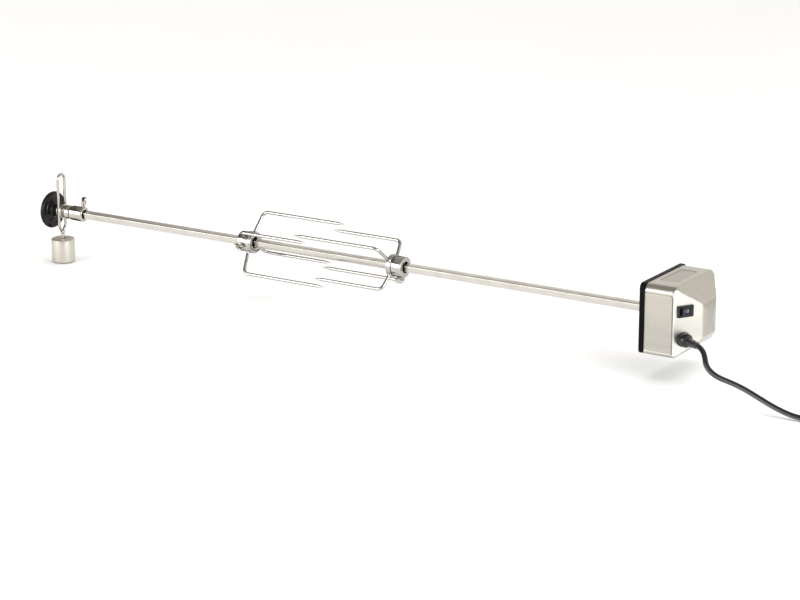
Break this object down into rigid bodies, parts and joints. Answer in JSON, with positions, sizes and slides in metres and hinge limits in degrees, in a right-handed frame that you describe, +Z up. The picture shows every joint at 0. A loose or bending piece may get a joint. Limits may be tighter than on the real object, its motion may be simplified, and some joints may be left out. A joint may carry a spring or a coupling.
{
  "type": "grill rotisserie spit kit",
  "caption": "Motor-driven rotisserie spit for a grill: geared motor housing with cord, square spit bar, pronged meat forks, support bushing, counterweight and knob.",
  "frame": {"origin": "spit axis at the outer face of the motor's mounting plate, the centre of its bolt pattern", "axes": "+X away from the grill through the motor, the spit bar runs towards -X, +Z up; the switch and cord gland are on the -Y side"},
  "size_m": [1.3545, 0.1687, 0.1314],
  "materials": {
    "plate_black": "satin black paint",
    "cover_steel": "brushed stainless sheet",
    "zinc_steel": "zinc-plated steel",
    "gear_steel": "machined steel, oiled",
    "bearing_brass": "turned bronze",
    "gear_nylon": "moulded nylon",
    "core_steel": "varnished laminations",
    "fan_plastic": "moulded",
    "coil_copper": "enamelled copper wire",
    "switch_black": "moulded, slight sheen",
    "wire_insulation": "smooth insulation",
    "gland_nylon": "moulded nylon",
    "cord_rubber": "smooth, slight sheen",
    "tie_plastic": "moulded strap",
    "contact_brass": "bare brass",
    "bar_steel": "drawn bright bar, nickel plated",
    "fork_chrome": "bright nickel plate",
    "trim_chrome": "polished plate",
    "weight_steel": "turned and brushed",
    "knob_black": "moulded phenolic, satin"
  },
  "bodies": {
    "motor_unit": {"mounting_plate": "plate_black", "clinch_nuts": "zinc_steel", "motor_cover": "cover_steel", "cover_screws": "zinc_steel", "gear_plate_front": "zinc_steel", "gear_plate_rear": "zinc_steel", "gear_spacers": "zinc_steel", "frame_screws": "zinc_steel", "gear_pins": "gear_steel", "spindle_bushing": "bearing_brass", "stator_core": "core_steel", "coil_bobbin": "gear_nylon", "motor_coil": "coil_copper", "stator_bolts": "zinc_steel", "rotor_bracket": "zinc_steel", "switch_body": "switch_black", "terminal_block": "gear_nylon", "lead_wires": "wire_insulation", "cord_gland": "gland_nylon", "gland_nut": "gland_nylon", "strain_relief": "cord_rubber", "power_cord": "cord_rubber", "cord_coil": "cord_rubber", "cord_tail": "cord_rubber", "cord_tie": "tie_plastic", "plug_body": "cord_rubber", "plug_pins": "contact_brass"},
    "drive_spindle": {"drive_spindle": "gear_steel", "output_gear": "gear_steel", "spindle_clip": "zinc_steel"},
    "second_gear": {"second_gear": "gear_nylon"},
    "first_gear": {"first_gear": "gear_nylon"},
    "rotor": {"rotor_shaft": "gear_steel", "rotor_core": "core_steel", "rotor_pinion": "bearing_brass", "cooling_fan": "fan_plastic"},
    "switch_rocker": {"switch_rocker": "switch_black"},
    "spit": {"spit_bar": "bar_steel"},
    "support_bushing": {"support_bushing": "trim_chrome"},
    "bushing_thumbscrew": {"bushing_thumbscrew": "trim_chrome"},
    "fork_a": {"fork_a_hub": "fork_chrome", "fork_a_long_tines": "fork_chrome", "fork_a_short_tines": "fork_chrome"},
    "fork_a_thumbscrew": {"fork_a_thumbscrew": "trim_chrome"},
    "fork_b": {"fork_b_hub": "fork_chrome", "fork_b_long_tines": "fork_chrome", "fork_b_short_tines": "fork_chrome"},
    "fork_b_thumbscrew": {"fork_b_thumbscrew": "trim_chrome"},
    "clamp_washer": {"clamp_washer": "zinc_steel"},
    "counterweight": {"weight_loop": "trim_chrome", "counterweight": "weight_steel"},
    "knob": {"knob": "knob_black", "knob_insert": "contact_brass"}
  },
  "joints": [
    {"name": "spit_spin", "type": "hinge", "parent": "motor_unit", "child": "drive_spindle", "pos_m": [0, 0, 0], "axis": [1, 0, 0], "continuous": true},
    {"name": "second_gear_spin", "type": "hinge", "parent": "motor_unit", "child": "second_gear", "pos_m": [0, 0.02819, 0.01026], "axis": [1, 0, 0], "continuous": true},
    {"name": "first_gear_spin", "type": "hinge", "parent": "motor_unit", "child": "first_gear", "pos_m": [0, 0.03215, -0.01219], "axis": [1, 0, 0], "continuous": true},
    {"name": "rotor_spin", "type": "hinge", "parent": "motor_unit", "child": "rotor", "pos_m": [0, 0.00936, -0.0114], "axis": [1, 0, 0], "continuous": true},
    {"name": "switch_rock", "type": "hinge", "parent": "motor_unit", "child": "switch_rocker", "pos_m": [0.0525, -0.04055, 0.0166], "axis": [0, 0, -1], "range_deg": [0, 22]},
    {"name": "spit_withdraw", "type": "slide", "parent": "drive_spindle", "child": "spit", "axis": [-1, 0, 0], "range_m": [0, 0.03]},
    {"name": "bushing_slide", "type": "slide", "parent": "spit", "child": "support_bushing", "axis": [1, 0, 0], "range_m": [0, 0.02]},
    {"name": "bushing_thumbscrew_turn", "type": "hinge", "parent": "support_bushing", "child": "bushing_thumbscrew", "pos_m": [-0.9285, 0, 0], "axis": [0, 0.2588, 0.9659], "range_deg": [0, 1080]},
    {"name": "fork_a_slide", "type": "slide", "parent": "spit", "child": "fork_a", "axis": [1, 0, 0], "range_m": [-0.25, 0.04]},
    {"name": "fork_a_thumbscrew_turn", "type": "hinge", "parent": "fork_a", "child": "fork_a_thumbscrew", "pos_m": [-0.638, 0, 0], "axis": [0, -0.9816, -0.1908], "range_deg": [0, 1080]},
    {"name": "fork_b_slide", "type": "slide", "parent": "spit", "child": "fork_b", "axis": [1, 0, 0], "range_m": [-0.04, 0.33]},
    {"name": "fork_b_thumbscrew_turn", "type": "hinge", "parent": "fork_b", "child": "fork_b_thumbscrew", "pos_m": [-0.39, 0, 0], "axis": [0, 0.0698, -0.9976], "range_deg": [0, 1080]},
    {"name": "counterweight_swing", "type": "hinge", "parent": "spit", "child": "clamp_washer", "pos_m": [-0.9658, 0, 0], "axis": [1, 0, 0], "continuous": true},
    {"name": "counterweight_slide", "type": "slide", "parent": "clamp_washer", "child": "counterweight", "axis": [0, 0, 1], "range_m": [-0.046, 0.012]},
    {"name": "knob_turn", "type": "hinge", "parent": "spit", "child": "knob", "pos_m": [-0.98, 0, 0], "axis": [-1, 0, 0], "range_deg": [0, 1080]}
  ],
  "couplings": [
    {"joint": "second_gear_spin", "follows": "spit_spin", "ratio": -4},
    {"joint": "first_gear_spin", "follows": "spit_spin", "ratio": 15},
    {"joint": "rotor_spin", "follows": "spit_spin", "ratio": -56.25}
  ]
}
